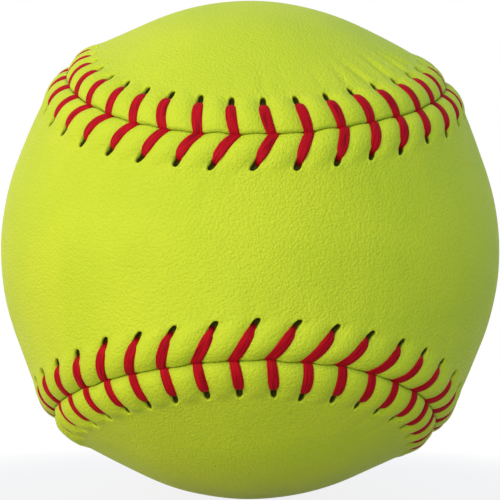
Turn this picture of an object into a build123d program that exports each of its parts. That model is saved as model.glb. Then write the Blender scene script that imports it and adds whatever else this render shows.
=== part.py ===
from build123d import *
import os
from math import acos, asin, atan2, cos, degrees, hypot, pi, radians, sin, sqrt, tan

# A stitched softball: a moulded core in a film of cement, a cover of two equal panels whose edges
# rise to lips along the seam, and two waxed threads that lace the panels together.
# The ball's centre is the origin. The front panel's waist faces -Y and its lobes reach to -X and +X.
# The back panel's waist faces +Y and its lobes reach to -Z and +Z.

# Driving dimensions of the ball, in millimetres and degrees
ball_circumference = 304.8  # round the smooth cover, away from the seam
cover_thickness = 2.0  # leather away from the seam
cement_thickness = 0.15  # film on the core
glue_line = 0.05  # between the film and the cover
waist_half_angle = 23.06  # from the middle of a waist to its seam, at the ball's centre
lobe_half_angle = 46.2  # from the middle of a lobe's round end to its seam

# Driving dimensions of a lip: rises above the smooth cover, offsets straight across from the seam
seam_gap = 0.3
lip_edge_rise = 1.9
lip_crest_offset = 3.0
lip_crest_rise = 2.35
lip_flank_offset = 7.0
lip_flank_rise = 1.5
lip_foot_offset = 12.4

# Driving dimensions of the lacing
stitch_count = 88  # along the whole seam, an even number
thread_diameter = 1.4
thread_clearance = 0.3  # from a hidden run of thread to the cement and the leather
hole_clearance = 0.25  # all round a thread in its hole and at the seam
hole_offset = 6.5  # from the seam to a row of holes
stitch_phase = 0.59  # of a stitch, from the tip above the front waist to the first stitch's middle
front_slant = 4.1  # along the seam, from a front hole to where its thread dives
back_slant = 0.1  # the same, from a back hole
dive_spacing = 1.8  # along the seam, between the two threads of a stitch
leg_bow = 0.6  # along the seam, by which a leg's middle swings out from a straight leg
leg_lift = 0.3  # from a leg's underside to the lip that it crosses
hole_lift = 0.55  # the same, where the leg bends over the rim of its hole
leg_shares = (0.68, 0.36, 0.0)  # of the hole's offset, at the points of a leg after its hole
sharp_turn = 45  # a thread's bends that turn further are sharp ones
bend_radius = 1.1  # of the thread's middle line at its sharp bends
bend_share = 0.45  # of the shorter run beside a gentle bend, which the bend takes up
tail_gap = 2.0  # between the two hidden ends of a thread

# Sizes that follow
ball_radius = ball_circumference / (2 * pi)
cover_bore = ball_radius - cover_thickness
film_radius = cover_bore - glue_line
core_radius = film_radius - cement_thickness
thread_radius = thread_diameter / 2
hole_radius = thread_radius + hole_clearance
run_radius = cover_bore + thread_clearance + thread_radius
tunnel_roof = run_radius + thread_radius + thread_clearance
tunnel_half_width = hole_offset + hole_radius + thread_clearance
edge_offset = seam_gap / 2
tool_top = ball_radius + 2 * lip_crest_rise
band_reach = 2 * cover_thickness
centre = Vector(0, 0, 0)

# Half of a round end and half of a great circle run, from a tip to a crossing of the seam
waist = radians(waist_half_angle)
lobe = radians(lobe_half_angle)
tip = Vector(0, -cos(waist), sin(waist))
crossing = Vector(1, 0, 1).normalized()
end_axis = Vector(0, -cos(waist + lobe), sin(waist + lobe))

# The run's pole is square to the crossing, and leans so that the run is tangent to the round end
forward = cos(waist + lobe)
across = sin(waist + lobe) / sqrt(2)
lean = atan2(across, forward) - acos(-sin(lobe) / hypot(forward, across))
run_axis = Vector(0, 1, 0) * cos(lean) + Vector(1, 0, -1).normalized() * sin(lean)
touch = (end_axis - run_axis * sin(lobe)) * (1 / cos(lobe))
end_turn = 2 * (tip - end_axis * cos(lobe)).get_angle(touch - end_axis * cos(lobe))
run_turn = 2 * touch.get_angle(crossing)


def half_turned(direction):
    """Returns a direction after half a turn of the ball about Y."""
    return Vector(-direction.X, direction.Y, -direction.Z)


class SeamArc:
    """One arc of the seam, from a start direction by a turn about an axis through the centre."""

    def __init__(self, start, pole, turn):
        self.start = start
        self.axis = Axis(centre, pole)
        self.turn = turn
        self.reach = sin(radians(pole.get_angle(start)))
        self.length = ball_radius * self.reach * radians(turn)
        self.end = start.rotate(self.axis, turn)

    def plane_at(self, distance):
        """Returns the section plane at a distance along the arc: x outwards, y to the front panel."""
        outwards = self.start.rotate(self.axis, self.turn * distance / self.length)
        along = self.axis.direction.cross(outwards)
        return Plane(origin=centre, x_dir=outwards, z_dir=along)


# The whole seam: eight arcs, the first of them the round end above the front panel's waist
half_poles = [
    end_axis,
    run_axis,
    Vector(-end_axis.Z, end_axis.Y, 0),
    Vector(run_axis.X, run_axis.Y, -run_axis.Z),
]
seam = []
arc_start = tip.rotate(Axis(centre, end_axis), -end_turn / 2)
for pole in half_poles + [half_turned(pole) for pole in half_poles]:
    seam.append(SeamArc(arc_start, pole, run_turn if len(seam) % 2 else end_turn))
    arc_start = seam[-1].end
seam_length = sum(arc.length for arc in seam)
pitch = seam_length / stitch_count


def seam_plane(along):
    """Returns the seam's section plane at a distance along it from the tip above the front waist."""
    rest = (along + seam[0].length / 2) % seam_length
    for arc in seam[:-1]:
        if rest <= arc.length:
            return arc.plane_at(rest)
        rest -= arc.length
    return seam[-1].plane_at(rest)


def stitch_middle(stitch):
    """Returns the place along the seam of a stitch, between its two dives."""
    return (stitch + stitch_phase) * pitch


def dive_along(stitch, side):
    """Returns the place along the seam where a stitch's thread from one side dives."""
    return stitch_middle(stitch) + side * dive_spacing / 2


def hole_along(stitch, side):
    """Returns the place along the seam of a stitch's hole on one side."""
    return dive_along(stitch, side) - (front_slant if side > 0 else back_slant)


def across_seam(offset, radius):
    """Returns a section point from its offset from the seam and its distance from the centre."""
    return Vector(sqrt(radius**2 - offset**2), offset)


def ball_point(along, offset, radius):
    """Returns the point at a distance along the seam, an offset from it and a radius."""
    return seam_plane(along).from_local_coords(across_seam(offset, radius))


def round_arc(radius, first_offset, last_offset):
    """Returns an arc of a section about the ball's centre, between two offsets."""
    first = degrees(asin(first_offset / radius))
    return CenterArc((0, 0), radius, first, degrees(asin(last_offset / radius)) - first)


# The outside of a lip: a crown from the seam over the crest, then a hollow foot down to the cover
with BuildLine() as lip_outside:
    crown = ThreePointArc(
        across_seam(edge_offset, ball_radius + lip_edge_rise),
        across_seam(lip_crest_offset, ball_radius + lip_crest_rise),
        across_seam(lip_flank_offset, ball_radius + lip_flank_rise),
    )
    foot = TangentArc(crown @ 1, across_seam(lip_foot_offset, ball_radius), tangent=crown % 1)


def lip_top(offset):
    """Returns the radius of a lip's outside at an offset from the seam."""
    arc, bulge = (crown, 1) if offset < lip_flank_offset else (foot, -1)
    rise = sqrt(arc.radius**2 - (offset - arc.arc_center.Y) ** 2)
    return hypot(arc.arc_center.X + bulge * rise, offset)


def lip_section(plane):
    """Returns the section of the front panel's lip on a section plane of the seam."""
    with BuildSketch(plane) as section:
        with BuildLine():
            add(lip_outside.line)
            Line(foot @ 1, across_seam(lip_foot_offset, cover_bore))
            round_arc(cover_bore, tunnel_half_width, lip_foot_offset)
            Line(across_seam(tunnel_half_width, cover_bore), across_seam(tunnel_half_width, tunnel_roof))
            round_arc(tunnel_roof, edge_offset, tunnel_half_width)
            Line(across_seam(edge_offset, tunnel_roof), crown @ 0)
        make_face()
    return section.sketch


def seam_band_section(plane):
    """Returns a section through the whole cover, as wide as both lips."""
    with BuildSketch(plane) as section:
        with Locations((cover_bore, 0)):
            Rectangle(2 * band_reach, 2 * lip_foot_offset)
    return section.sketch


# The smooth domes of the two panels: a hollow sphere without the band along the seam
with BuildPart() as domes:
    Sphere(ball_radius)
    Sphere(cover_bore, mode=Mode.SUBTRACT)
    for arc in seam:
        revolve(seam_band_section(arc.plane_at(0)), arc.axis, arc.turn, mode=Mode.SUBTRACT)
front_dome = domes.solids().sort_by(Axis.Y)[0]


def cover_panel(side):
    """Returns one side's panel, in the front panel's place: its lip, its dome and its openings.

    Half a turn about a crossing takes this place to the back panel's, and turns the seam round.
    """
    with BuildPart() as panel:
        for arc in seam:
            revolve(lip_section(arc.plane_at(0)), arc.axis, arc.turn)
        add(front_dome)
        for stitch in range(stitch_count):
            hole_place = side * hole_along(stitch, side)
            hole = ball_point(hole_place, hole_offset, run_radius)
            with BuildSketch(Plane(origin=hole, z_dir=seam_plane(hole_place).x_dir)):
                Circle(hole_radius)
            notch_place = side * stitch_middle(stitch)
            notch = ball_point(notch_place, 0, run_radius)
            with BuildSketch(Plane(origin=notch, x_dir=seam_plane(notch_place).z_dir, z_dir=notch)):
                SlotOverall(dive_spacing + 2 * hole_radius, 2 * hole_radius)
        extrude(amount=tool_top - run_radius, mode=Mode.SUBTRACT)
    return panel


# The two panels: the same shape, with holes that let the stitches lean as they do
cover_panel_front = cover_panel(1)

with BuildPart() as cover_panel_back:
    add(cover_panel(-1).part.rotate(Axis(centre, crossing), 180))

# The moulded core and the film of cement on it
with BuildPart() as core:
    Sphere(core_radius)

with BuildPart() as cement_film:
    Sphere(film_radius)
    Sphere(core_radius, mode=Mode.SUBTRACT)


def leg_route(stitch, side):
    """Returns the points of one leg: up its hole, over the lip and down at the seam."""
    hole, dive = hole_along(stitch, side), dive_along(stitch, side)
    hole_top = lip_top(hole_offset) + hole_lift + thread_radius
    route = [ball_point(hole, side * hole_offset, radius) for radius in (run_radius, hole_top)]
    for share in leg_shares:
        offset = share * hole_offset
        swing = 4 * leg_bow * share * (1 - share)
        height = lip_top(offset) + leg_lift + thread_radius
        route.append(ball_point(dive + share * (hole - dive) - swing, side * offset, height))
    route.append(ball_point(dive, 0, run_radius))
    return route


def bend_at(before, corner, after):
    """Returns the radius of a thread's bend: small at a sharp turn, else as large as its runs allow."""
    turn = (corner - before).get_angle(after - corner)
    shorter = min((corner - before).length, (after - corner).length)
    largest = bend_share * shorter / tan(radians(turn) / 2)
    return min(bend_radius, largest) if turn > sharp_turn else largest


def thread_path(first_side):
    """Returns a thread's path, whose legs cross to the two panels in turn, from the first side."""
    legs = [leg_route(stitch, first_side * (-1) ** stitch) for stitch in range(stitch_count)]
    joints = [(leg[-1] + following[0]) * 0.5 for leg, following in zip(legs, legs[1:] + legs[:1])]
    tail = (legs[0][0] - legs[-1][-1]).normalized() * (tail_gap / 2)
    edges = []
    for stitch, leg in enumerate(legs):
        begin = joints[stitch - 1] + (tail if stitch == 0 else centre)
        end = joints[stitch] - (tail if stitch == stitch_count - 1 else centre)
        points = [begin] + leg + [end]
        radii = [bend_at(*points[k - 1 : k + 2]) for k in range(1, len(points) - 1)]
        with BuildLine() as stretch:
            FilletPolyline(*points, radius=radii)
        edges += stretch.edges()
    return Wire(edges)


def thread_along(path):
    """Returns a thread swept along its path."""
    with BuildPart() as thread:
        with BuildSketch(Plane(origin=path @ 0, z_dir=path % 0)) as section:
            Circle(thread_radius)
        sweep(section.sketch, path)
    return thread


lacing_thread_first = thread_along(thread_path(1))
lacing_thread_second = thread_along(thread_path(-1))

# One file for each piece
pieces = {
    "core": core,
    "cement_film": cement_film,
    "cover_panel_front": cover_panel_front,
    "cover_panel_back": cover_panel_back,
    "lacing_thread_first": lacing_thread_first,
    "lacing_thread_second": lacing_thread_second,
}
os.makedirs("parts", exist_ok=True)
for name, piece in pieces.items():
    piece.part.label = name
    export_step(piece.part, f"parts/{name}.step")
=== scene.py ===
"""A stitched softball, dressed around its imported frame.

The cover's two panels get their swollen lips, pressed valleys, stitch holes and grain, and the two
waxed threads get their flat, fibrous strands. The core and the cement under them keep their solids.
All sizes are in metres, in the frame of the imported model.
"""

from __future__ import annotations

import logging
from dataclasses import dataclass
from enum import Enum
from math import acos, atan2, cos, hypot, pi, radians, sin, sqrt
from typing import Any

import bmesh
import bpy
import numpy as np
from bpy.types import Material, Mesh, Node, NodeSocket, NodeTree, Object
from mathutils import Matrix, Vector, noise
from mathutils.geometry import delaunay_2d_cdt

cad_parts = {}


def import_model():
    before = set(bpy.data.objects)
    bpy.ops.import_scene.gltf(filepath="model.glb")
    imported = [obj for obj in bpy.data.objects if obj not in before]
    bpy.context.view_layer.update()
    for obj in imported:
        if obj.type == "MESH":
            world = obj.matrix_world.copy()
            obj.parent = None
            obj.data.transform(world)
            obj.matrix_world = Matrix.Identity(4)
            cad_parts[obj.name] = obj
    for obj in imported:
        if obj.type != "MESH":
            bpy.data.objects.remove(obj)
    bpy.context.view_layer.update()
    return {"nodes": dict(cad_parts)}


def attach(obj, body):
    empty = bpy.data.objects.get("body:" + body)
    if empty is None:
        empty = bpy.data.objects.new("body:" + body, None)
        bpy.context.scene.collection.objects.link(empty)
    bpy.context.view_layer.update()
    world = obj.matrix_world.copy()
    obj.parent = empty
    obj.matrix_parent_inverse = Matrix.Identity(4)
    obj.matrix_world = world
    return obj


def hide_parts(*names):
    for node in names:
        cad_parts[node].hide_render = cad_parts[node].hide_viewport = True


log = logging.getLogger("softball")

MM = 0.001
BODY = "root"

Array = np.ndarray
Colour = tuple[float, float, float, float]
WHITE: Colour = (1.0, 1.0, 1.0, 1.0)


class PanelSide(Enum):
    """The two cover panels, by the sign of their offset from the seam."""

    FRONT = 1
    BACK = -1


class ThreadTurn(Enum):
    """The two threads, by the panel that their even stitches cross."""

    FIRST = 1
    SECOND = -1


def fade(values: Array, start: float, end: float) -> Array:
    """Eases values from 0 at start to 1 at end.

    Args:
        values: The values to ease.
        start: Where the result is 0.
        end: Where the result is 1; it may lie below start.

    Returns:
        The eased values, between 0 and 1.
    """
    share = np.clip((np.asarray(values, float) - start) / (end - start), 0.0, 1.0)
    return share * share * (3.0 - 2.0 * share)


def turned(vectors: Array, axis: Array, angles: Array) -> Array:
    """Turns vectors about an axis through the centre.

    Args:
        vectors: One vector, or one for each angle.
        axis: The unit axis.
        angles: The angles in radians.

    Returns:
        One turned vector for each angle.
    """
    angles = np.atleast_1d(angles)[:, None]
    along = axis * (np.atleast_2d(vectors) @ axis)[:, None]
    aside = vectors * np.cos(angles) + np.cross(axis, vectors) * np.sin(angles)
    return aside + along * (1.0 - np.cos(angles))


def between(first: Array, second: Array) -> float:
    """Returns the angle between two vectors in radians."""
    lengths = np.linalg.norm(first) * np.linalg.norm(second)
    return acos(np.clip(first @ second / lengths, -1.0, 1.0))


def enclosed(places: Array, loop: Array, clearance: float) -> Array:
    """Tells which flat places lie inside a closed loop and clear of it.

    Args:
        places: The places.
        loop: The loop's corners in order.
        clearance: The least distance from a corner.

    Returns:
        True for each place that does.
    """
    level_rise = 1e-12
    following = np.roll(loop, -1, axis=0)
    height = places[:, None, 1]
    passes = (loop[None, :, 1] > height) != (following[None, :, 1] > height)
    rise = following[:, 1] - loop[:, 1]
    rise[rise == 0.0] = level_rise
    reach = loop[:, 0] + (height - loop[:, 1]) / rise * (following[:, 0] - loop[:, 0])
    crossings = np.sum(passes & (reach > places[:, None, 0]), axis=1)
    apart = np.linalg.norm(places[:, None, :] - loop[None, :, :], axis=2)
    return (crossings % 2 == 1) & (np.min(apart, axis=1) > clearance)


class NodeSheet:
    """Adds nodes to a node tree and joins them."""

    MIX_FACTOR, MIX_FIRST, MIX_SECOND, MIX_RESULT = 0, 6, 7, 2

    def __init__(self, tree: NodeTree) -> None:
        """Keeps the tree that the nodes go into."""
        self.tree = tree

    def add(self, kind: str, inputs: dict[Any, Any] | None = None, **settings: Any) -> Node:
        """Adds one node.

        Args:
            kind: The node's type.
            inputs: For each input's name or number, a value or the socket to join to it.
            settings: The node's own properties.

        Returns:
            The new node.
        """
        node = self.tree.nodes.new(kind)
        for name, value in settings.items():
            setattr(node, name, value)
        for key, value in (inputs or {}).items():
            if isinstance(value, NodeSocket):
                self.tree.links.new(value, node.inputs[key])
            else:
                node.inputs[key].default_value = value
        return node

    def out(
        self, kind: str, inputs: dict[Any, Any] | None = None, output: str | int = 0, **settings: Any
    ) -> NodeSocket:
        """Returns one output, by name or number, of a node that it adds."""
        return self.add(kind, inputs, **settings).outputs[output]

    def math(self, operation: str, first: Any, second: Any = 0.0) -> NodeSocket:
        """Returns the result of a math node on two values or sockets."""
        return self.out("ShaderNodeMath", {0: first, 1: second}, operation=operation)

    def mix(self, factor: Any, first: Any, second: Any) -> NodeSocket:
        """Returns two colours mixed by a factor."""
        inputs = {self.MIX_FACTOR: factor, self.MIX_FIRST: first, self.MIX_SECOND: second}
        return self.out("ShaderNodeMix", inputs, self.MIX_RESULT, data_type="RGBA")

    def step(self, value: Any, start: float, end: float) -> NodeSocket:
        """Returns a value eased from 0 at start to 1 at end."""
        inputs = {"Value": value, "From Min": start, "From Max": end}
        return self.out("ShaderNodeMapRange", inputs, interpolation_type="SMOOTHSTEP")


class SurfaceSheet(NodeSheet):
    """The nodes of one new material, around its shader."""

    def __init__(self, name: str) -> None:
        """Makes the material.

        Args:
            name: The material's name.
        """
        self.material = bpy.data.materials.new(name)
        self.material.use_nodes = True
        super().__init__(self.material.node_tree)
        self.shader = self.tree.nodes["Principled BSDF"]

    def place(self) -> NodeSocket:
        """Returns the place on the piece, in its Object coordinates."""
        return self.out("ShaderNodeTexCoord", output="Object")

    def mark(self, name: str) -> NodeSocket:
        """Returns a named attribute of the mesh."""
        return self.out("ShaderNodeAttribute", output="Fac", attribute_name=name)

    def clouds(self, place: Any, scale: float, detail: float) -> NodeSocket:
        """Returns a noise of a scale and a detail at a place."""
        return self.out("ShaderNodeTexNoise", {"Vector": place, "Scale": scale, "Detail": detail})

    def paint(self, colour: NodeSocket) -> None:
        """Gives the shader its colour."""
        self.tree.links.new(colour, self.shader.inputs["Base Color"])

    def emboss(self, height: NodeSocket, strength: float, distance: float) -> None:
        """Gives the shader a fine relief."""
        inputs = {"Height": height, "Strength": strength, "Distance": distance}
        self.tree.links.new(self.out("ShaderNodeBump", inputs), self.shader.inputs["Normal"])

    def polish(self, **values: Any) -> None:
        """Sets inputs of the shader; in their names an underscore stands for a space."""
        for name, value in values.items():
            self.shader.inputs[name.replace("_", " ")].default_value = value


@dataclass(frozen=True)
class LegDrift:
    """How the stitch legs on one panel change along the seam.

    A tip change is added at the tip over the front panel's waist and taken off at the tip under it.
    A turn change is added ahead of those tips and taken off past them. A side change is taken off
    halfway from tip to tip.
    """

    lag_tip: float
    lag_turn: float
    lag_side: float
    bow_turn: float
    reach_tip: float
    reach_turn: float


@dataclass(frozen=True)
class LegLine:
    """The line of the stitch legs on one panel, from a stitch's middle on the seam.

    Attributes:
        fold: Ahead along the seam to where the strand folds into it.
        lag: Back along the seam to the hole.
        bow: From a straight leg back to the leg's middle.
        reach: Across from the seam to the hole.
        drift: How the line changes along the seam.
        seed: The seed of the draw that makes each leg a little unlike the next.
    """

    fold: float
    lag: float
    bow: float
    reach: float
    drift: LegDrift
    seed: int


FRONT_LEG = LegLine(
    fold=0.12 * MM,
    lag=3.3 * MM,
    bow=0.10 * MM,
    reach=5.9 * MM,
    drift=LegDrift(
        lag_tip=-0.37 * MM,
        lag_turn=-0.15 * MM,
        lag_side=1.15 * MM,
        bow_turn=0.34 * MM,
        reach_tip=-0.35 * MM,
        reach_turn=0.33 * MM,
    ),
    seed=8801,
)
BACK_LEG = LegLine(
    fold=-0.36 * MM,
    lag=1.23 * MM,
    bow=0.12 * MM,
    reach=6.15 * MM,
    drift=LegDrift(
        lag_tip=0.25 * MM,
        lag_turn=0.7 * MM,
        lag_side=1.35 * MM,
        bow_turn=0.38 * MM,
        reach_tip=0.0,
        reach_turn=0.1 * MM,
    ),
    seed=8802,
)


@dataclass(frozen=True)
class HandSpread:
    """How far hand-sewn legs stray from their line, and how many times as far they may at most."""

    fold: float = 0.08 * MM
    lag: float = 0.24 * MM
    bow: float = 0.16 * MM
    reach: float = 0.18 * MM
    most: float = 1.7


@dataclass(frozen=True)
class SeamSizes:
    """The sizes that lay out the sewn seam and its stitches, near to those of the solids.

    Attributes:
        waist_half_angle: From the middle of a panel's waist to the seam.
        lobe_half_angle: From the axis of a round end to the seam.
        stitch_phase: From the first tip to the first stitch's middle, in pitches.
        hole_share: How far out a leg's line leans on, as a share of its reach.
        waver: How far the pull of a stitch draws the seam aside.
        waver_offset, swing_offset: How far from the seam that and the swings still show.
        slow_swings, quick_swings: How often in a round the sewn seam swings from its arcs.
        quick_start: The quick swings' angle at the first tip.
    """

    circumference: float = 304.8 * MM
    waist_half_angle: float = radians(23.06)
    lobe_half_angle: float = radians(46.2)
    stitch_count: int = 88
    stitch_phase: float = 0.562
    hole_share: float = 1.2
    waver: float = 0.09 * MM
    waver_offset: float = 5.0 * MM
    waver_seed: int = 8803
    slow_swings: int = 2
    slow_swing: float = 1.2 * MM
    quick_swings: int = 6
    quick_swing: float = 0.79 * MM
    quick_start: float = radians(57.6)
    swing_offset: float = 20.0 * MM
    spread: HandSpread = HandSpread()

    @property
    def radius(self) -> float:
        """Returns the radius of the smooth cover."""
        return self.circumference / (2.0 * pi)


class StitchRow:
    """The legs of all the stitches on one panel, each a little unlike the next, as sewn by hand."""

    def __init__(self, line: LegLine, spread: HandSpread, count: int) -> None:
        """Draws the legs about their common line.

        Args:
            line: The line that the legs follow.
            spread: How far they stray from it.
            count: The number of stitches.
        """
        draw = np.random.default_rng(line.seed).normal(0.0, 1.0, (4, count)).clip(-spread.most, spread.most)
        round_seam = 2.0 * pi * np.arange(count) / count
        tip = np.cos(round_seam)
        turn = -np.sin(2.0 * round_seam)
        side = (1.0 - np.cos(4.0 * round_seam)) / 2.0
        drift = line.drift
        lag = line.lag + drift.lag_tip * tip + drift.lag_turn * turn - drift.lag_side * side
        reach = line.reach + drift.reach_tip * tip + drift.reach_turn * turn
        self.fold = line.fold + spread.fold * draw[0]
        self.lag = lag + spread.lag * draw[1]
        self.bow = line.bow + drift.bow_turn * turn + spread.bow * draw[2]
        self.reach = reach + spread.reach * draw[3]


class SeamArc:
    """One arc of the seam, from a start direction by a turn about an axis through the centre."""

    def __init__(self, start: Array, pole: Array, turn: float, radius: float) -> None:
        """Keeps the arc and works out its length on the ball.

        Args:
            start: The unit direction where the arc begins.
            pole: The unit axis that it turns about.
            turn: The angle that it turns by, in radians.
            radius: The ball's radius.
        """
        self.start = start
        self.pole = pole
        self.turn = turn
        self.length = radius * sin(between(pole, start)) * turn
        self.end = turned(start, pole, turn)[0]

    def directions(self, distances: Array) -> Array:
        """Returns the directions at distances along the arc."""
        return turned(self.start, self.pole, distances / self.length * self.turn)


class SeamPath:
    """The closed seam: four round ends and four great circle runs, tangent to each other.

    A place on the cover is a distance along the seam, an offset across it and a radius from the
    centre. Distances start at the tip above the front panel's waist, and offsets are positive on
    the front panel.
    """

    def __init__(self, sizes: SeamSizes) -> None:
        """Lays out the eight arcs and draws the stitches.

        Args:
            sizes: The seam's sizes.
        """
        self.sizes = sizes
        waist, lobe = sizes.waist_half_angle, sizes.lobe_half_angle
        tip = np.array((0.0, -cos(waist), sin(waist)))
        crossing = np.array((1.0, 0.0, 1.0)) / sqrt(2.0)
        end_axis = np.array((0.0, -cos(waist + lobe), sin(waist + lobe)))
        forward, across = cos(waist + lobe), sin(waist + lobe) / sqrt(2.0)
        lean = atan2(across, forward) - acos(-sin(lobe) / hypot(forward, across))
        side = np.array((1.0, 0.0, -1.0)) / sqrt(2.0)
        run_axis = np.array((0.0, cos(lean), 0.0)) + side * sin(lean)
        touch = (end_axis - run_axis * sin(lobe)) / cos(lobe)
        middle = end_axis * cos(lobe)
        turns = (2.0 * between(tip - middle, touch - middle), 2.0 * between(touch, crossing))
        half = [
            end_axis,
            run_axis,
            np.array((-end_axis[2], end_axis[1], 0.0)),
            run_axis * np.array((1.0, 1.0, -1.0)),
        ]
        self.arcs: list[SeamArc] = []
        start = turned(tip, end_axis, -turns[0] / 2.0)[0]
        for pole in half + [pole * np.array((-1.0, 1.0, -1.0)) for pole in half]:
            self.arcs.append(SeamArc(start, pole, turns[len(self.arcs) % 2], sizes.radius))
            start = self.arcs[-1].end
        self.ends = np.cumsum([arc.length for arc in self.arcs])
        self.length = float(self.ends[-1])
        self.pitch = self.length / sizes.stitch_count
        self.rows = {
            PanelSide.FRONT: StitchRow(FRONT_LEG, sizes.spread, sizes.stitch_count),
            PanelSide.BACK: StitchRow(BACK_LEG, sizes.spread, sizes.stitch_count),
        }
        draw = np.random.default_rng(sizes.waver_seed)
        self.pulls = sizes.waver * draw.normal(0.0, 1.0, 2 * sizes.stitch_count)

    def frames(self, along: Array) -> tuple[Array, Array]:
        """Works out the seam's directions at distances along it.

        Args:
            along: The distances.

        Returns:
            The directions outwards, and across the seam towards the front panel.
        """
        rest = (np.asarray(along, float) + self.arcs[0].length / 2.0) % self.length
        numbers = np.minimum(np.searchsorted(self.ends, rest), len(self.arcs) - 1)
        outwards = np.zeros((len(rest), 3))
        ahead = np.zeros((len(rest), 3))
        for number, arc in enumerate(self.arcs):
            here = numbers == number
            begin = self.ends[number] - arc.length
            outwards[here] = arc.directions(rest[here] - begin)
            ahead[here] = np.cross(arc.pole, outwards[here])
        ahead /= np.linalg.norm(ahead, axis=1)[:, None]
        return outwards, np.cross(ahead, outwards)

    def swing(self, along: Array) -> Array:
        """Works out how far the sewn seam swings from its arcs.

        Args:
            along: The distances along the seam.

        Returns:
            The swings, towards the front panel.
        """
        sizes = self.sizes
        turn = 2.0 * pi * np.asarray(along) / self.length
        slow = sizes.slow_swing * np.sin(sizes.slow_swings * turn)
        return slow + sizes.quick_swing * np.cos(sizes.quick_swings * turn + sizes.quick_start)

    def waver(self, along: Array) -> Array:
        """Works out how far the stitches pull the seam aside.

        Args:
            along: The distances along the seam.

        Returns:
            The pulls, towards the front panel, shared out between the stitches' middles and gaps.
        """
        place = (np.asarray(along) / self.pitch - self.sizes.stitch_phase) * 2.0 % len(self.pulls)
        knot = np.floor(place).astype(int) % len(self.pulls)
        share = place - np.floor(place)
        return self.pulls[knot] * (1.0 - share) + self.pulls[(knot + 1) % len(self.pulls)] * share

    def points(self, along: Array, offset: Array, radius: Array | float) -> Array:
        """Works out points on the ball; near the seam they follow the way that it is sewn.

        Args:
            along: The distances along the seam.
            offset: The offsets across it.
            radius: The radii from the centre, or one for all.

        Returns:
            The points.
        """
        beside = np.abs(offset)
        offset = np.asarray(offset) + self.waver(along) * fade(beside, self.sizes.waver_offset, 0.0)
        offset = offset + self.swing(along) * fade(beside, self.sizes.swing_offset, 0.0)
        outwards, across = self.frames(along)
        level = np.sqrt(np.square(radius) - np.square(offset))
        return outwards * level[:, None] + across * offset[:, None]

    def leg_along(self, side: PanelSide, stitch: Array, offset: Array) -> Array:
        """Works out where a stitch's leg lies along the seam.

        Args:
            side: The panel that the leg crosses.
            stitch: The stitches' numbers, which may run on past the last.
            offset: The distances from the seam, all positive.

        Returns:
            The leg's distances along the seam; a little past its hole the line turns square to the seam.
        """
        row = self.rows[side]
        number = np.asarray(stitch) % self.sizes.stitch_count
        share = np.clip(np.asarray(offset) / row.reach[number], 0.0, self.sizes.hole_share)
        fold, lag, bow = row.fold[number], row.lag[number], row.bow[number]
        ahead = fold - share * (fold + lag) - 4.0 * bow * share * (1.0 - share)
        return (np.asarray(stitch) + self.sizes.stitch_phase) * self.pitch + ahead


@dataclass(frozen=True)
class LipShape:
    """The raised edge of a cover panel: rises over the smooth cover at offsets from the seam.

    Attributes:
        edge_rise: The rise at the panel's edge.
        offsets: The offsets of the edge, the crest, a place on the fall, and the foot.
        rises: The rises of the last three.
        slopes: The slopes at all four.
    """

    edge_rise: float
    offsets: tuple[float, ...] = (0.0, 3.0 * MM, 7.0 * MM, 17.5 * MM)
    rises: tuple[float, ...] = (1.95 * MM, 1.15 * MM, 0.0)
    slopes: tuple[float, ...] = (0.35, 0.0, -0.218, 0.0)

    def rise(self, offset: Array) -> Array:
        """Works out the lip's smooth rise.

        Args:
            offset: The offsets from the seam.

        Returns:
            The rises, on a smooth curve through the lip's own.
        """
        offset = np.clip(offset, self.offsets[0], self.offsets[-1])
        part = np.clip(np.searchsorted(self.offsets, offset) - 1, 0, len(self.offsets) - 2)
        starts, slopes = np.array(self.offsets), np.array(self.slopes)
        rises = np.array((self.edge_rise, *self.rises))
        width = starts[part + 1] - starts[part]
        share = (offset - starts[part]) / width
        rest = 1.0 - share
        before = rises[part] * rest * rest * (1.0 + 2.0 * share)
        past = rises[part + 1] * share * share * (1.0 + 2.0 * rest)
        bends = slopes[part] * rest * rest * share - slopes[part + 1] * share * share * rest
        return before + past + bends * width


FRONT_LIP = LipShape(edge_rise=1.35 * MM)
BACK_LIP = LipShape(edge_rise=1.50 * MM)


@dataclass(frozen=True)
class StitchSpan:
    """Neighbouring stitches that are unlike the rest, most of all at the span's middle."""

    middle: float
    half: float

    def strength(self, count: int) -> Array:
        """Returns how strongly each of the seam's stitches belongs to the span."""
        return np.exp(-np.square((np.arange(count) - self.middle) / self.half))


@dataclass(frozen=True)
class PillowShape:
    """The leather as it swells between two stitches and is pressed into a valley under each.

    Attributes:
        spread: The shares of the rise that pillows are drawn between.
        power: How steeply they rise from the valleys.
        edge_share: The share of the rise at the panel's edge; it is whole at full_offset.
        seam_pinch, hole_pinch: How much deeper the valleys are at the seam and at the holes.
        valley_soft: How softly their floors are rounded.
        scallop: How much further than the valleys the pillows reach.
        falls: Past the row of holes, where both have gone and where they are still whole.
    """

    rise: float = 0.30 * MM
    spread: tuple[float, float] = (0.85, 1.15)
    power: float = 2.2
    edge_share: float = 0.35
    full_offset: float = 2.2 * MM
    valley_depth: float = 0.45 * MM
    seam_pinch: float = 0.30 * MM
    hole_pinch: float = 0.30 * MM
    valley_soft: float = 0.35 * MM
    scallop: float = 0.4 * MM
    falls: tuple[float, float] = (1.6 * MM, -0.6 * MM)


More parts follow.
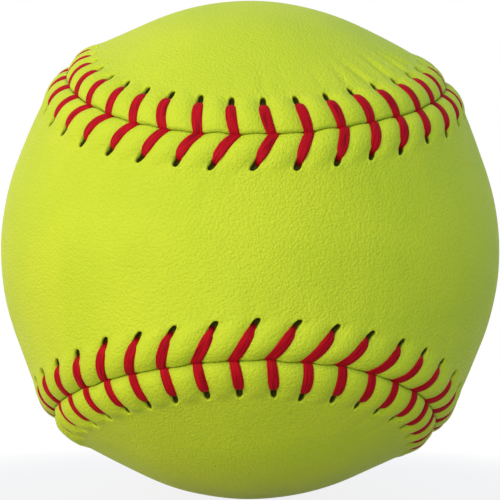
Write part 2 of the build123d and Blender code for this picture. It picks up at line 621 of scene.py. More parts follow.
@dataclass(frozen=True)
class HoleShape:
    """A stitch hole and its pushed-up rim, with rings as shares of the hole's size.

    Attributes:
        half_length: Half its size across the seam.
        power: How square its ends are.
        wall: The rings where its wall begins and ends.
        mark: The rings where its painted shade begins and is full.
        rim_ring: The ring of the rim's crest.
    """

    half_length: float = 1.2 * MM
    half_width: float = 0.60 * MM
    power: float = 2.6
    depth: float = 1.2 * MM
    wall: tuple[float, float] = (1.10, 0.70)
    mark: tuple[float, float] = (1.06, 0.84)
    rim_rise: float = 0.10 * MM
    rim_ring: float = 1.35
    rim_half: float = 0.25


@dataclass(frozen=True)
class CreaseShape:
    """The creases that pulled stitches draw in the leather past their holes.

    Attributes:
        loose: The shares of the depth that creases are drawn between where no stitch pulls more.
        turn: How far to either side they lean at most.
        starts: The offsets where they begin and are at full depth.
        ends: The offsets where they have gone and where they begin to.
        shoulder: The share of the depth by which the leather beside a crease stands up.
    """

    depth: float = 0.85 * MM
    loose: tuple[float, float] = (0.03, 0.18)
    turn: float = 0.30
    half: float = 1.25 * MM
    starts: tuple[float, float] = (7.0 * MM, 8.6 * MM)
    ends: tuple[float, float] = (16.0 * MM, 9.5 * MM)
    shoulder: float = 0.5
    shoulder_half: float = 2.0


@dataclass(frozen=True)
class Spots:
    """Spots on a cover panel.

    Attributes:
        stitch: The numbers of the stitches that they belong to.
        lean: Their distances along the seam from the stitch's leg, if all legs lay one pitch apart.
        offset: Their distances from the seam.
    """

    stitch: Array
    lean: Array
    offset: Array

    @property
    def beside(self) -> Array:
        """Returns the numbers of the stitches on their other side."""
        return self.stitch + np.where(self.lean > 0.0, 1, -1)


@dataclass
class CoverPanel:
    """One leather panel of the cover, swollen between its stitches and pressed under them.

    Attributes:
        pulled: The stitches of the back panel that crease it most.
        puffed: The stitches of the back panel that it swells between most.
        tunnel_rise: The room for the thread under the lip, over the bore.
        valley_shade_half: Half the width of the painted shade beside a strand.
        valley_shade_ends: The offsets where that painted shade has gone and where it is still full.
        seam_shade: The offsets where the painted shade along the seam has gone and is full.
        edge_row: The row of the mesh that no longer follows the notched edge.
        rows: The rows' distances from the seam in millimetres, if the holes lay in the hole row.
        columns: The columns' distances from a stitch's leg in millimetres.
    """

    side: PanelSide
    seam: SeamPath
    node: str
    lip: LipShape
    pillow: PillowShape = PillowShape()
    hole: HoleShape = HoleShape()
    crease: CreaseShape = CreaseShape()
    pulled: StitchSpan = StitchSpan(middle=5.5, half=2.6)
    puffed: StitchSpan = StitchSpan(middle=50.0, half=7.5)
    puffed_share: float = 1.3
    seed: int = 8800
    thickness: float = 2.0 * MM
    tunnel_rise: float = 1.55 * MM
    tunnel_offset: float = 8.25 * MM
    edge_round: float = 0.45 * MM
    edge_gap: float = 0.05 * MM
    notch_depth: float = 0.40 * MM
    notch_half: float = 0.90 * MM
    wave_rise: float = 0.10 * MM
    wave_size: float = 9.0 * MM
    valley_shade_half: float = 0.95 * MM
    valley_shade_ends: tuple[float, float] = (6.6 * MM, 5.6 * MM)
    seam_shade: tuple[float, float] = (0.7 * MM, 0.1 * MM)
    dome_spacing: float = 1.3 * MM
    inside_spacing: float = 4.0 * MM
    border_clearance: float = 0.6
    merge_distance: float = 1e-9
    seam_step: float = 1.0 * MM
    edge_row: float = 3.0
    hole_row: float = 7.0
    rows: tuple[float, ...] = (
        *(0.0, 0.04, 0.12, 0.25, 0.42, 0.65, 0.95, 1.3, 1.75, 2.25, 2.8, 3.4, 4.0, 4.6, 5.1, 5.5),
        *(5.8, 6.0, 6.15, 6.3, 6.5, 6.75, 7.0, 7.25, 7.5, 7.7, 7.85, 8.0, 8.2, 8.5, 8.9, 9.4),
        *(10.0, 10.8, 11.7, 12.7, 13.8, 15.0, 16.2),
    )
    columns: tuple[float, ...] = (0.18, 0.36, 0.50, 0.62, 0.76, 0.95, 1.20, 1.55, 2.00, 2.50)

    def __post_init__(self) -> None:
        """Draws the small differences between the panel's stitches."""
        draw = np.random.default_rng(self.seed + self.side.value)
        count = self.seam.sizes.stitch_count
        behind = self.side is PanelSide.BACK
        puff = self.puffed_share * self.puffed.strength(count) if behind else 0.0
        pull = self.pulled.strength(count) if behind else 0.0
        self.swells = draw.uniform(*self.pillow.spread, count) * (1.0 + puff)
        self.creases = self.crease.depth * np.maximum(pull, draw.uniform(*self.crease.loose, count))
        self.crease_turns = draw.uniform(-self.crease.turn, self.crease.turn, count)

    def reach(self, spots: Spots) -> Array:
        """Works out the distance from the seam to the row of holes.

        Args:
            spots: The spots that it is wanted for.

        Returns:
            The distances, shared out between neighbouring holes.
        """
        holes = self.seam.rows[self.side].reach
        share = np.abs(spots.lean) / self.seam.pitch
        beside = holes[spots.beside % len(holes)]
        return holes[spots.stitch % len(holes)] * (1.0 - share) + beside * share

    def across(self, row: float, spots: Spots) -> Array:
        """Works out the distances from the seam of one row of the mesh.

        Args:
            row: The row's distance in millimetres, if the holes lay in the hole row.
            spots: Spots with the stitches and the leans of the row.

        Returns:
            The distances, which follow the holes as they lie.
        """
        reach = self.reach(spots)
        if row < self.hole_row:
            return reach * row / self.hole_row
        last = self.rows[-1]
        return reach + (last * MM - reach) * (row - self.hole_row) / (last - self.hole_row)

    def points(self, spots: Spots, radius: Array | float) -> Array:
        """Works out points over spots of the panel.

        Args:
            spots: The spots.
            radius: The radii from the centre, or one for all.

        Returns:
            The points, which share out the room between two legs.
        """
        leg = self.seam.leg_along(self.side, spots.stitch, spots.offset)
        beside = self.seam.leg_along(self.side, spots.beside, spots.offset)
        along = leg + spots.lean * np.abs(beside - leg) / self.seam.pitch
        return self.seam.points(along, spots.offset * self.side.value, radius)

    def swelling(self, spots: Spots) -> Array:
        """Works out how the leather stands over or under the smooth lip.

        Args:
            spots: The spots.

        Returns:
            The rise of the pillows between legs, less the valleys under them.
        """
        pillow = self.pillow
        soft = pillow.valley_soft
        near = np.sqrt(np.square(spots.lean) + soft**2) - soft
        span = np.sqrt((self.seam.pitch / 2.0) ** 2 + soft**2) - soft
        swollen = 1.0 - (1.0 - np.clip(near / span, 0.0, 1.0)) ** pillow.power
        scale = self.swells[np.minimum(spots.stitch, spots.beside) % len(self.swells)]
        reach = self.reach(spots)
        middle = 2.0 * np.clip(spots.offset / reach, 0.0, 1.0) - 1.0
        pinch = np.where(middle < 0.0, pillow.seam_pinch, pillow.hole_pinch)
        valley = pillow.valley_depth + pinch * np.square(middle)
        inwards = fade(spots.offset, 0.0, pillow.full_offset)
        crown = pillow.rise * scale * (pillow.edge_share + (1.0 - pillow.edge_share) * inwards)
        whole = fade(spots.offset - reach - pillow.scallop * swollen, *pillow.falls)
        return whole * (crown * swollen - valley * (1.0 - swollen))

    def swollen_lip(self, spots: Spots) -> Array:
        """Returns the rise of the swollen lip over the smooth ball."""
        return self.lip.rise(spots.offset) + self.swelling(spots)

    def hole_ring(self, spots: Spots) -> Array:
        """Works out how far out of a stitch hole spots lie.

        Args:
            spots: The spots.

        Returns:
            The spots' rings, where 1 is the hole's own size.
        """
        hole = self.hole
        past = spots.offset - self.reach(spots)
        width = np.abs(spots.lean / hole.half_width) ** hole.power
        length = np.abs(past / hole.half_length) ** hole.power
        return (width + length) ** (1.0 / hole.power)

    def creasing(self, spots: Spots) -> Array:
        """Works out how deep the creases are past the holes.

        Args:
            spots: The spots.

        Returns:
            The depths, below zero beside a crease.
        """
        crease = self.crease
        past = spots.offset - self.reach(spots)
        drift = (spots.lean - self.crease_turns[spots.stitch] * past) / crease.half
        shown = fade(spots.offset, *crease.starts) * fade(spots.offset, *crease.ends)
        beside = crease.shoulder * np.exp(-np.square(drift / crease.shoulder_half))
        return self.creases[spots.stitch] * shown * (np.exp(-np.square(drift)) - beside)

    def rise(self, spots: Spots) -> Array:
        """Works out the cover's rise over the smooth ball.

        Args:
            spots: The spots.

        Returns:
            The rises.
        """
        hole = self.hole
        rise = self.swollen_lip(spots)
        inset = np.clip(self.edge_round - spots.offset, 0.0, self.edge_round)
        rise -= self.edge_round - np.sqrt(self.edge_round**2 - inset**2)
        ring = self.hole_ring(spots)
        rise -= hole.depth * fade(ring, *hole.wall)
        rise += hole.rim_rise * np.exp(-np.square((ring - hole.rim_ring) / hole.rim_half))
        return rise - self.creasing(spots)

    def wave(self, points: Array) -> Array:
        """Returns the slow unevenness of the cover at points on it."""
        scale = 1.0 / self.wave_size
        return np.array([noise.noise(Vector(point) * scale) for point in points]) * self.wave_rise

    def faced(self, points: Array) -> Array:
        """Changes the back panel's points for the front panel's, or back again.

        Args:
            points: Points of this panel, or of the front panel in its place.

        Returns:
            The same points on the other of the two; the front panel's stay.
        """
        if self.side is PanelSide.FRONT:
            return points
        return points[:, [2, 1, 0]] * np.array((1.0, -1.0, 1.0))

    def unrolled(self, points: Array) -> Array:
        """Lays points flat, with this panel's waist in the middle.

        Args:
            points: The points.

        Returns:
            Their longitudes and latitudes.
        """
        points = self.faced(points)
        directions = points / np.linalg.norm(points, axis=1)[:, None]
        longitudes = np.arctan2(directions[:, 0], -directions[:, 1])
        return np.stack((longitudes, np.arcsin(directions[:, 2])), axis=1)

    def rolled(self, flat: Array) -> Array:
        """Lays flat places back on the ball.

        Args:
            flat: Longitudes and latitudes, as unrolled gives them.

        Returns:
            Their directions.
        """
        level = np.cos(flat[:, 1])
        parts = (np.sin(flat[:, 0]) * level, -np.cos(flat[:, 0]) * level, np.sin(flat[:, 1]))
        return self.faced(np.stack(parts, axis=1))

    def filled(self, loop: Array, spacing: float) -> tuple[Array, list[list[int]]]:
        """Fills a closed loop on the ball with triangles.

        Args:
            loop: The loop's points.
            spacing: The distance between the points inside it.

        Returns:
            The directions of the points inside, and faces whose numbers count the loop first.
        """
        border = self.unrolled(loop)
        step = spacing / self.seam.sizes.radius
        low, high = border.min(axis=0), border.max(axis=0)
        grid = []
        for number, latitude in enumerate(np.arange(low[1], high[1], step * sqrt(3.0) / 2.0)):
            stretch = step / cos(latitude)
            longitudes = np.arange(low[0] + stretch / 2.0 * (number % 2), high[0], stretch)
            grid.append(np.stack((longitudes, np.full_like(longitudes, latitude)), axis=1))
        inside = np.concatenate(grid)
        inside = inside[enclosed(inside, border, self.border_clearance * step)]
        places = [Vector(place) for place in np.concatenate((border, inside))]
        edges = [(number, (number + 1) % len(border)) for number in range(len(border))]
        inside_only = 1
        found = delaunay_2d_cdt(places, edges, [], inside_only, self.merge_distance)
        _, _, triangles, sources, _, _ = found
        faces = [[sources[corner][0] for corner in triangle] for triangle in triangles]
        return self.rolled(inside), faces

    def layers(self, stitch: Array, lean: Array) -> tuple[list[Array], dict[str, list[Array]]]:
        """Works out the rows of the mesh, from the bore round the edge and up to the dome.

        Args:
            stitch: The numbers of the stitches that a row's points belong to.
            lean: Their distances along the seam from the stitch's leg.

        Returns:
            The rows' points, and by name how far they lie in a stitch hole and in a valley beside a strand or
            at the seam, as weights of painted shade.
        """
        radius = self.seam.sizes.radius
        bore = radius - self.thickness
        roof = bore + self.tunnel_rise
        tunnel = np.full(len(lean), self.tunnel_offset)
        edge = self.edge_gap + self.notch_depth * np.exp(-np.square(lean / self.notch_half))
        layers, holes, valley_shades = [], [], []
        # The tunnel rows carry no painted shade; the notched edge row carries full painted shade, down into
        # the seam.
        for offset, level, shade in ((tunnel, bore, 0.0), (tunnel, roof, 0.0), (edge, roof, 1.0)):
            layers.append(self.points(Spots(stitch, lean, offset), level))
            holes.append(np.zeros(len(lean)))
            valley_shades.append(np.full(len(lean), shade))
        for row in self.rows:
            across = self.across(row, Spots(stitch, lean, edge))
            spots = Spots(stitch, lean, across + edge * float(fade(row, self.edge_row, 0.0)))
            rise = self.rise(spots) + self.wave(self.points(spots, radius))
            layers.append(self.points(spots, radius + rise))
            # Painted shade inside the stitch holes, weighted by how far in a spot lies.
            holes.append(fade(self.hole_ring(spots), *self.hole.mark))
            # Painted shade beside each strand and along the seam.
            valley = np.exp(-np.square(lean / self.valley_shade_half)) * fade(spots.offset, *self.valley_shade_ends)
            valley_shades.append(np.maximum(valley, fade(spots.offset, *self.seam_shade)))
        return layers, {"hole_shade": holes, "valley_shade": valley_shades}

    def mesh(self) -> Mesh:
        """Builds the panel as one closed mesh.

        Returns:
            The mesh, with attributes that weight the painted shade in the holes and in the valleys beside the
            strands.
        """
        seam, sizes = self.seam, self.seam.sizes
        steps = np.array(self.columns) * MM
        leans = np.concatenate((-steps[::-1], (0.0,), steps, (seam.pitch / 2.0,)))
        lean = np.tile(leans, sizes.stitch_count)
        stitch = np.repeat(np.arange(sizes.stitch_count), len(leans))
        count = len(lean)
        layers, marks = self.layers(stitch, lean)
        faces: list[list[int]] = []
        for start in range(0, (len(layers) - 1) * count, count):
            for column in range(count):
                near = (start + column, start + (column + 1) % count)
                faces.append([*near, near[1] + count, near[0] + count])
        last = (len(layers) - 1) * count
        dome, dome_faces = self.filled(layers[-1], self.dome_spacing)
        faces += [[last + corner for corner in face] for face in dome_faces]
        seam_line = seam.frames(np.arange(0.0, seam.length, self.seam_step))[0]
        nearest = np.max(dome @ seam_line.T, axis=1)
        rise = self.lip.rise(sizes.radius * np.sqrt(1.0 - np.square(nearest)))
        dome_points = dome * (sizes.radius + rise + self.wave(dome * sizes.radius))[:, None]
        inside, inside_faces = self.filled(layers[0], self.inside_spacing)
        shift = last + len(dome)
        faces += [[corner if corner < count else shift + corner for corner in face] for face in inside_faces]
        inside_points = inside * (sizes.radius - self.thickness)
        points = np.concatenate((*layers, dome_points, inside_points))
        mesh = bpy.data.meshes.new(self.node)
        mesh.from_pydata(points.tolist(), [], faces)
        rest = np.zeros(len(dome) + len(inside))
        for name, values in marks.items():
            layer = mesh.attributes.new(name, "FLOAT", "POINT")
            layer.data.foreach_set("value", np.concatenate((*values, rest)))
        shell = bmesh.new()
        shell.from_mesh(mesh)
        bmesh.ops.recalc_face_normals(shell, faces=shell.faces)
        shell.to_mesh(mesh)
        shell.free()
        mesh.shade_smooth()
        return mesh

    def build(self, leather: Material) -> Object:
        """Builds the panel's object and puts it in its CAD node's place.

        Args:
            leather: The cover's material.

        Returns:
            The panel.
        """
        panel = placed(self.mesh(), self.node + "_leather")
        panel.data.materials.append(leather)
        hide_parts(self.node)
        return panel


def placed(mesh: Mesh, name: str) -> Object:
    """Makes an object of a mesh, rides it on the ball's body and reports it.

    Args:
        mesh: The finished mesh.
        name: The object's name.

    Returns:
        The object.
    """
    piece = bpy.data.objects.new(name, mesh)
    bpy.context.scene.collection.objects.link(piece)
    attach(piece, BODY)
    log.info("%s: %d faces", name, len(mesh.polygons))
    return piece


def evaluated(carrier: Object) -> Mesh:
    """Returns a plain mesh of what an object's modifiers make."""
    graph = bpy.context.evaluated_depsgraph_get()
    return bpy.data.meshes.new_from_object(carrier.evaluated_get(graph), depsgraph=graph)


@dataclass(frozen=True)
class LegPoint:
    """One point of a thread's leg.

    Attributes:
        share: Its distance from the seam, as a share of the hole's.
        height: Its height over the valley that the leg lies in.
        width: The strand's width there, as a share of its full width.
    """

    share: float
    height: float
    width: float


@dataclass
class LacingThread:
    """One unbroken waxed thread, flat where it shows, that crosses the two panels in turn.

    Attributes:
        run_rise: The rise of its runs under the cover, over the bore.
        plies: The ridges of fibres round the strand.
        ply_depth: Their depth, as a share of the strand's size.
        squareness: The section's squareness, from 1 for round towards 0.
        resolution: The steps between two points of the route.
        seamwise_share: The share of the hole's distance within which the strand turns to lie along the seam.
        legs: The leg from its hole to the seam.
    """

    turn: ThreadTurn
    seam: SeamPath
    panels: dict[PanelSide, CoverPanel]
    node: str
    width: float = 1.9 * MM
    thickness: float = 0.72 * MM
    run_rise: float = 0.75 * MM
    plies: int = 9
    ply_depth: float = 0.03
    squareness: float = 0.72
    profile_points: int = 22
    resolution: int = 2
    seamwise_share: float = 0.22
    legs: tuple[LegPoint, ...] = (
        LegPoint(0.94, -1.40 * MM, 0.54),
        LegPoint(0.935, -0.70 * MM, 0.56),
        LegPoint(0.92, -0.05 * MM, 0.64),
        LegPoint(0.865, 0.26 * MM, 0.82),
        LegPoint(0.76, 0.32 * MM, 0.97),
        LegPoint(0.62, 0.29 * MM, 1.05),
        LegPoint(0.46, 0.27 * MM, 1.06),
        LegPoint(0.30, 0.28 * MM, 1.02),
        LegPoint(0.16, 0.32 * MM, 0.95),
        LegPoint(0.065, 0.32 * MM, 0.90),
        LegPoint(0.002, 0.14 * MM, 0.88),
        LegPoint(-0.012, -0.70 * MM, 0.86),
    )

    def route(self) -> tuple[Array, Array, Array]:
        """Works out the thread's route over and under the cover.

        Returns:
            The route's points, the directions that its strand's flat underside faces, and its widths.
        """
        points, facings, widths = [], [], []
        seam, sizes = self.seam, self.seam.sizes
        shares = np.array([point.share for point in self.legs])
        heights = np.array([point.height for point in self.legs])
        broad = np.array([point.width for point in self.legs])
        seamwise = fade(shares, self.seamwise_share, shares[-1])[:, None]
        for stitch in range(sizes.stitch_count):
            side = PanelSide(self.turn.value * (-1) ** stitch)
            panel = self.panels[side]
            numbers = np.full(len(shares), stitch)
            offsets = shares * seam.rows[side].reach[stitch]
            along = seam.leg_along(side, numbers, offsets)
            across = offsets * side.value
            floor = panel.swollen_lip(Spots(numbers, np.zeros(len(shares)), offsets))
            leg = seam.points(along, across, sizes.radius + floor + heights)
            outwards, aside = seam.frames(along)
            ahead = np.cross(outwards, aside)
            level = np.gradient(seam.points(along, across, sizes.radius), axis=0)
            square = np.cross(level, outwards)
            square /= np.linalg.norm(square, axis=1)[:, None]
            ahead *= np.sign(np.sum(ahead * square, axis=1))[:, None]
            flat = square * (1.0 - seamwise) + ahead * seamwise
            facing = np.cross(np.gradient(leg, axis=0), flat)
            facing /= np.linalg.norm(facing, axis=1)[:, None]
            under = sizes.radius - panel.thickness + self.run_rise
            ends = seam.points(along[[0, -1]], across[[0, -1]], under)
            points += [ends[:1], leg, ends[1:]]
            facings += [facing[:1], facing, facing[-1:]]
            widths += [broad[:1], broad, broad[-1:]]
        return np.concatenate(points), np.concatenate(facings), np.concatenate(widths)

    def strand_inputs(self) -> dict[str, tuple[str, float]]:
        """Returns the kind and the value of each named input of the strand's node tree."""
        return {
            "Strand Width": ("NodeSocketFloat", self.width),
            "Strand Thickness": ("NodeSocketFloat", self.thickness),
            "Plies": ("NodeSocketInt", self.plies),
            "Ply Depth": ("NodeSocketFloat", self.ply_depth),
            "Squareness": ("NodeSocketFloat", self.squareness),
            "Profile Points": ("NodeSocketInt", self.profile_points),
            "Resolution": ("NodeSocketInt", self.resolution),
        }

    def strand_line(self, sheet: NodeSheet, given: Any) -> NodeSocket:
        """Adds the nodes that draw the strand's line through the route.

        Args:
            sheet: The strand's node tree.
            given: The tree's inputs.

        Returns:
            The line, which knows where the strand's underside faces and how far along it is.
        """
        line = sheet.out("GeometryNodeMeshToCurve", {"Mesh": given["Geometry"]})
        line = sheet.out("GeometryNodeCurveSplineType", {"Curve": line}, spline_type="NURBS")
        inputs = {"Geometry": line, "Resolution": given["Resolution"]}
        line = sheet.out("GeometryNodeSetSplineResolution", inputs)
        kind = "GeometryNodeInputNamedAttribute"
        facing = sheet.out(kind, {"Name": "facing"}, "Attribute", data_type="FLOAT_VECTOR")
        line = sheet.out("GeometryNodeSetCurveNormal", {"Curve": line, "Normal": facing}, mode="FREE")
        length = sheet.out("GeometryNodeSplineParameter", output="Length")
        inputs = {"Geometry": line, "Name": "strand_along", "Value": length}
        return sheet.out("GeometryNodeStoreNamedAttribute", inputs, domain="POINT")

    def strand_section(self, sheet: NodeSheet, given: Any) -> NodeSocket:
        """Adds the nodes that draw the strand's flat, ridged section.

        Args:
            sheet: The strand's node tree.
            given: The tree's inputs.

        Returns:
            The section, which knows how far round it is.
        """
        inputs = {"Resolution": given["Profile Points"], "Radius": 1.0}
        section = sheet.out("GeometryNodeCurvePrimitiveCircle", inputs)
        around = sheet.out("GeometryNodeSplineParameter", output="Factor")
        angle = sheet.math("MULTIPLY", sheet.math("MULTIPLY", around, given["Plies"]), 2.0 * pi)
        ripple = sheet.math("MULTIPLY", sheet.math("COSINE", angle), given["Ply Depth"])
        swell = sheet.math("ADD", ripple, 1.0)
        place = sheet.add("ShaderNodeSeparateXYZ", {0: sheet.out("GeometryNodeInputPosition")}).outputs
        sides = {}
        for axis, size in (("X", "Strand Thickness"), ("Y", "Strand Width")):
            squared = sheet.math("POWER", sheet.math("ABSOLUTE", place[axis]), given["Squareness"])
            signed = sheet.math("MULTIPLY", squared, sheet.math("SIGN", place[axis]))
            half = sheet.math("MULTIPLY", given[size], 0.5)
            sides[axis] = sheet.math("MULTIPLY", sheet.math("MULTIPLY", signed, half), swell)
        inputs = {"Geometry": section, "Position": sheet.out("ShaderNodeCombineXYZ", sides)}
        section = sheet.out("GeometryNodeSetPosition", inputs)
        inputs = {"Geometry": section, "Name": "strand_around", "Value": around}
        return sheet.out("GeometryNodeStoreNamedAttribute", inputs, domain="POINT")

    def strand_tree(self, material: Material) -> tuple[NodeTree, dict[str, str]]:
        """Builds the node tree that draws a flat strand of fibres along the route.

        Args:
            material: The thread's material.

        Returns:
            The tree, and the identifiers of its named inputs.
        """
        tree = bpy.data.node_groups.new(self.node + "_strand", "GeometryNodeTree")
        tree.interface.new_socket("Geometry", in_out="INPUT", socket_type="NodeSocketGeometry")
        names = {}
        for name, (kind, _) in self.strand_inputs().items():
            names[name] = tree.interface.new_socket(name, in_out="INPUT", socket_type=kind).identifier
        tree.interface.new_socket("Geometry", in_out="OUTPUT", socket_type="NodeSocketGeometry")
        sheet = NodeSheet(tree)
        given = sheet.add("NodeGroupInput").outputs
        line, section = self.strand_line(sheet, given), self.strand_section(sheet, given)
        kind = "GeometryNodeInputNamedAttribute"
        share = sheet.out(kind, {"Name": "width_share"}, "Attribute", data_type="FLOAT")
        inputs = {"Curve": line, "Profile Curve": section, "Scale": share, "Fill Caps": True}
        strand = sheet.out("GeometryNodeCurveToMesh", inputs)
        strand = sheet.out("GeometryNodeSetShadeSmooth", {"Geometry": strand})
        strand = sheet.out("GeometryNodeRealizeInstances", {"Geometry": strand})
        strand = sheet.out("GeometryNodeSetMaterial", {"Geometry": strand, "Material": material})
        sheet.add("NodeGroupOutput", {"Geometry": strand})
        return tree, names

    def build(self, material: Material) -> Object:
        """Builds the thread's object and puts it in its CAD node's place.

        Args:
            material: The thread's material.

        Returns:
            The thread.
        """
        points, facings, widths = self.route()
        line = bpy.data.meshes.new(self.node + "_route")
        line.from_pydata(points.tolist(), [(number, number + 1) for number in range(len(points) - 1)], [])
        line.attributes.new("facing", "FLOAT_VECTOR", "POINT").data.foreach_set("vector", facings.ravel())
        line.attributes.new("width_share", "FLOAT", "POINT").data.foreach_set("value", widths)
        carrier = bpy.data.objects.new(self.node + "_route", line)
        bpy.context.scene.collection.objects.link(carrier)
        tree, names = self.strand_tree(material)
        strand = carrier.modifiers.new("strand", "NODES")
        strand.node_group = tree
        for name, (_, value) in self.strand_inputs().items():
            strand[names[name]] = value
        mesh = evaluated(carrier)
        bpy.data.objects.remove(carrier)
        thread = placed(mesh, self.node + "_strand")
        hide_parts(self.node)
        return thread


@dataclass(frozen=True)
class LeatherFinish:
    """Optic yellow cover leather: fine pebble grain, satin, painted shade in the holes and beside the
    strands.
    """

    bright: Colour = (0.635, 0.700, 0.022, 1.0)
    deep: Colour = (0.59, 0.675, 0.020, 1.0)
    cloud_scale: float = 70.0
    cloud_detail: float = 4.0
    cloud_range: tuple[float, float] = (0.35, 0.65)
    # Painted shade: a darker olive for the valleys beside the strands and along the seam.
    valley: Colour = (0.40, 0.480, 0.022, 1.0)
    valley_shade_share: float = 0.6
    # Painted shade: the dark colour inside the stitch holes.
    hole: Colour = (0.070, 0.066, 0.006, 1.0)
    hole_shade_range: tuple[float, float] = (0.05, 0.6)
    grain_scale: float = 2000.0
    pore_scale: float = 4400.0
    pore_detail: float = 2.0
    grain_height: float = 0.15 * MM
    grain_strength: float = 0.8
    roughness: float = 0.55
    specular: float = 0.15

    def material(self) -> Material:
        """Makes the leather's material.

        Returns:
            The material.
        """
        sheet = SurfaceSheet("cover_leather")
        place = sheet.place()
        clouds = sheet.clouds(place, self.cloud_scale, self.cloud_detail)
        colour = sheet.mix(sheet.step(clouds, *self.cloud_range), self.deep, self.bright)
        # Painted shade in the valleys beside the strands and along the seam.
        valley = sheet.math("MULTIPLY", sheet.mark("valley_shade"), self.valley_shade_share)
        colour = sheet.mix(valley, colour, self.valley)
        # Painted shade inside the stitch holes.
        sheet.paint(sheet.mix(sheet.step(sheet.mark("hole_shade"), *self.hole_shade_range), colour, self.hole))
        inputs = {"Vector": place, "Scale": self.grain_scale}
        cells = sheet.out("ShaderNodeTexVoronoi", inputs, "Distance", feature="F1")
        pores = sheet.clouds(place, self.pore_scale, self.pore_detail)
        sheet.emboss(sheet.math("SUBTRACT", pores, cells), self.grain_strength, self.grain_height)
        sheet.polish(Roughness=self.roughness, Specular_IOR_Level=self.specular)
        return sheet.material


@dataclass(frozen=True)
class ThreadFinish:
    """Red waxed thread: flat strands with lengthwise fibres and a low sheen."""

    bright: Colour = (0.56, 0.004, 0.010, 1.0)
    deep: Colour = (0.22, 0.001, 0.004, 1.0)
    fibres_along: float = 260.0
    fibres_around: float = 26.0
    fibre_detail: float = 3.0
    fibre_range: tuple[float, float] = (0.32, 0.6)
    fibre_height: float = 0.08 * MM
    fibre_strength: float = 0.5
    roughness: float = 0.65
    specular: float = 0.08

    def material(self) -> Material:
        """Makes the thread's material.

        Returns:
            The material.
        """
        sheet = SurfaceSheet("waxed_thread")
        along = sheet.math("MULTIPLY", sheet.mark("strand_along"), self.fibres_along)
        around = sheet.math("MULTIPLY", sheet.mark("strand_around"), self.fibres_around)
        place = sheet.out("ShaderNodeCombineXYZ", {"X": along, "Y": around})
        fibres = sheet.clouds(place, 1.0, self.fibre_detail)
        sheet.paint(sheet.mix(sheet.step(fibres, *self.fibre_range), self.deep, self.bright))
        sheet.emboss(fibres, self.fibre_strength, self.fibre_height)
        sheet.polish(Roughness=self.roughness, Specular_IOR_Level=self.specular)
        return sheet.material


@dataclass(frozen=True)
class InnerFinish:
    """A plain moulded or cast finish of the inside pieces, with a slow mottle and fine pits."""

    slot: str
    light: Colour
    dark: Colour
    roughness: float
    mottle_scale: float
    pit_scale: float
    pit_height: float
    mottle_detail: float = 5.0
    mottle_range: tuple[float, float] = (0.3, 0.7)
    pit_detail: float = 2.0
    pit_strength: float = 0.4

    def dress(self, node: Object) -> None:
        """Gives a CAD node its finish and reports it.

        Args:
            node: The node's object.
        """
        sheet = SurfaceSheet(self.slot)
        place = sheet.place()
        mottle = sheet.clouds(place, self.mottle_scale, self.mottle_detail)
        sheet.paint(sheet.mix(sheet.step(mottle, *self.mottle_range), self.dark, self.light))
        sheet.emboss(sheet.clouds(place, self.pit_scale, self.pit_detail), self.pit_strength, self.pit_height)
        sheet.polish(Roughness=self.roughness)
        node.data.materials.clear()
        node.data.materials.append(sheet.material)
        log.info("%s: %s", node.name, self.slot)


INNER_FINISHES = {
    "core": InnerFinish(
        slot="moulded_core",
        light=(0.64, 0.55, 0.33, 1.0),
        dark=(0.56, 0.47, 0.27, 1.0),
        roughness=0.7,
        mottle_scale=60.0,
        pit_scale=720.0,
        pit_height=0.1 * MM,
    ),
    "cement_film": InnerFinish(
        slot="latex_cement",
        light=(0.60, 0.48, 0.24, 1.0),
        dark=(0.52, 0.40, 0.18, 1.0),
        roughness=0.45,
        mottle_scale=90.0,
        pit_scale=1080.0,
        pit_height=0.05 * MM,
    ),
}


@dataclass(frozen=True)
class AreaLamp:
    """One soft studio lamp that faces the ball."""

    name: str
    place: tuple[float, float, float]
    size: float
    power: float
    tint: tuple[float, float, float]

    def build(self) -> None:
        """Adds the lamp to the scene."""
        data = bpy.data.lights.new(self.name, "AREA")
        data.size = self.size
        data.energy = self.power
        data.color = self.tint
        lamp = bpy.data.objects.new(self.name, data)
        lamp.location = self.place
        lamp.rotation_euler = (-Vector(self.place)).to_track_quat("-Z", "Y").to_euler()
        bpy.context.scene.collection.objects.link(lamp)


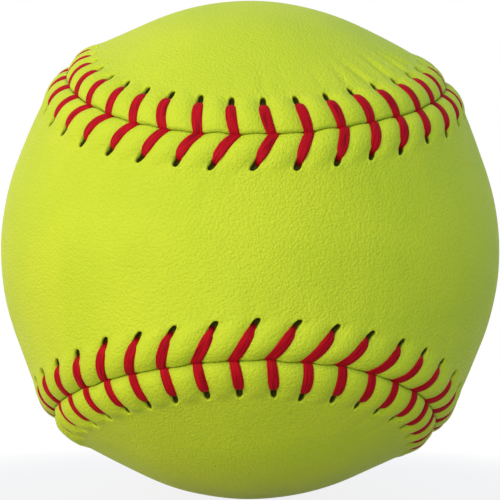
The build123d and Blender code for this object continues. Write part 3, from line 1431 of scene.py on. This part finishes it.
@dataclass(frozen=True)
class Studio:
    """The camera, the lamps, the white surround and the floor.

    Attributes:
        ambient: The light of the surround, which itself shows white.
        floor_white: How white the floor shows round the ball, where 1 hides all shadow.
        shadow_fade: From the ball's middle to where the floor's shadow begins to fade and has gone.
    """

    floor_level: float
    camera_distance: float = 313.0 * MM
    camera_turn: float = radians(0.58)
    camera_tilt: float = radians(-0.49)
    camera_roll: float = radians(-0.2)
    lens: float = 114.34
    ambient: Colour = (0.395, 0.545, 0.92, 1.0)
    floor_half: float = 3.0
    floor_colour: Colour = (0.42, 0.42, 0.42, 1.0)
    floor_roughness: float = 0.9
    floor_white: float = 0.86
    shadow_fade: tuple[float, float] = (0.07, 0.21)
    lamps: tuple[AreaLamp, ...] = (
        AreaLamp("key_lamp", place=(-0.80, -0.56, 0.40), size=0.55, power=5.5, tint=(1.0, 0.82, 0.70)),
        AreaLamp("front_lamp", place=(-0.28, -1.05, 0.14), size=0.55, power=4.6, tint=(0.93, 1.0, 0.92)),
    )

    def seen(self, sheet: NodeSheet) -> NodeSocket:
        """Adds the nodes that tell the rays that show a surface from those that light others.

        Args:
            sheet: The node tree.

        Returns:
            1 for rays of the camera, of reflections and through glass, and else 0.
        """
        path = sheet.add("ShaderNodeLightPath").outputs
        seen = sheet.math("MAXIMUM", path["Is Camera Ray"], path["Is Glossy Ray"])
        return sheet.math("MAXIMUM", seen, path["Is Transmission Ray"])

    def build(self) -> None:
        """Adds the camera, the lamps, the surround and the floor."""
        bpy.context.scene.view_settings.view_transform = "Standard"
        self.camera()
        for lamp in self.lamps:
            lamp.build()
        self.surround()
        self.floor()

    def camera(self) -> None:
        """Adds the camera, aimed at the ball's middle."""
        scene = bpy.context.scene
        data = bpy.data.cameras.new("camera")
        data.lens = self.lens
        camera = bpy.data.objects.new("camera", data)
        turn, tilt = self.camera_turn, self.camera_tilt
        aim = Vector((sin(turn) * cos(tilt), cos(turn) * cos(tilt), -sin(tilt)))
        camera.location = -self.camera_distance * aim
        camera.rotation_euler = (pi / 2.0 - tilt, self.camera_roll, -turn)
        scene.collection.objects.link(camera)
        scene.camera = camera

    def surround(self) -> None:
        """Adds the surround, which shows white and lights the ball with the ambient light."""
        world = bpy.data.worlds.new("surround")
        bpy.context.scene.world = world
        world.use_nodes = True
        sheet = NodeSheet(world.node_tree)
        light = sheet.mix(self.seen(sheet), self.ambient, WHITE)
        sheet.tree.links.new(light, sheet.tree.nodes["Background"].inputs["Color"])

    def floor(self) -> None:
        """Adds the pale floor that the ball stands on."""
        half, level = self.floor_half, self.floor_level
        corners = [(-half, -half, level), (half, -half, level), (half, half, level), (-half, half, level)]
        mesh = bpy.data.meshes.new("floor")
        mesh.from_pydata(corners, [], [(0, 1, 2, 3)])
        sheet = SurfaceSheet("pale_floor")
        sheet.polish(Base_Color=self.floor_colour, Roughness=self.floor_roughness)
        away = sheet.out("ShaderNodeVectorMath", {0: sheet.place()}, "Value", operation="LENGTH")
        white = sheet.math("ADD", sheet.step(away, *self.shadow_fade), self.floor_white)
        white = sheet.math("MULTIPLY", white, self.seen(sheet))
        glow = sheet.out("ShaderNodeEmission", {"Color": WHITE})
        both = sheet.out("ShaderNodeMixShader", {0: white, 1: sheet.shader.outputs[0], 2: glow})
        sheet.tree.links.new(both, sheet.tree.nodes["Material Output"].inputs["Surface"])
        mesh.materials.append(sheet.material)
        floor = bpy.data.objects.new("floor", mesh)
        bpy.context.scene.collection.objects.link(floor)


def main() -> None:
    """Loads the frame, dresses the ball and sets up the studio."""
    logging.basicConfig(level=logging.INFO, format="%(name)s %(message)s")
    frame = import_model()
    seam = SeamPath(SeamSizes())
    leather = LeatherFinish().material()
    waxed = ThreadFinish().material()
    panels = {
        PanelSide.FRONT: CoverPanel(PanelSide.FRONT, seam, "cover_panel_front", FRONT_LIP),
        PanelSide.BACK: CoverPanel(PanelSide.BACK, seam, "cover_panel_back", BACK_LIP),
    }
    for panel in panels.values():
        panel.build(leather)
    LacingThread(ThreadTurn.FIRST, seam, panels, "lacing_thread_first").build(waxed)
    LacingThread(ThreadTurn.SECOND, seam, panels, "lacing_thread_second").build(waxed)
    for node, finish in INNER_FINISHES.items():
        finish.dress(frame["nodes"][node])
    Studio(floor_level=-seam.sizes.radius).build()


if __name__ == "__main__":
    main()
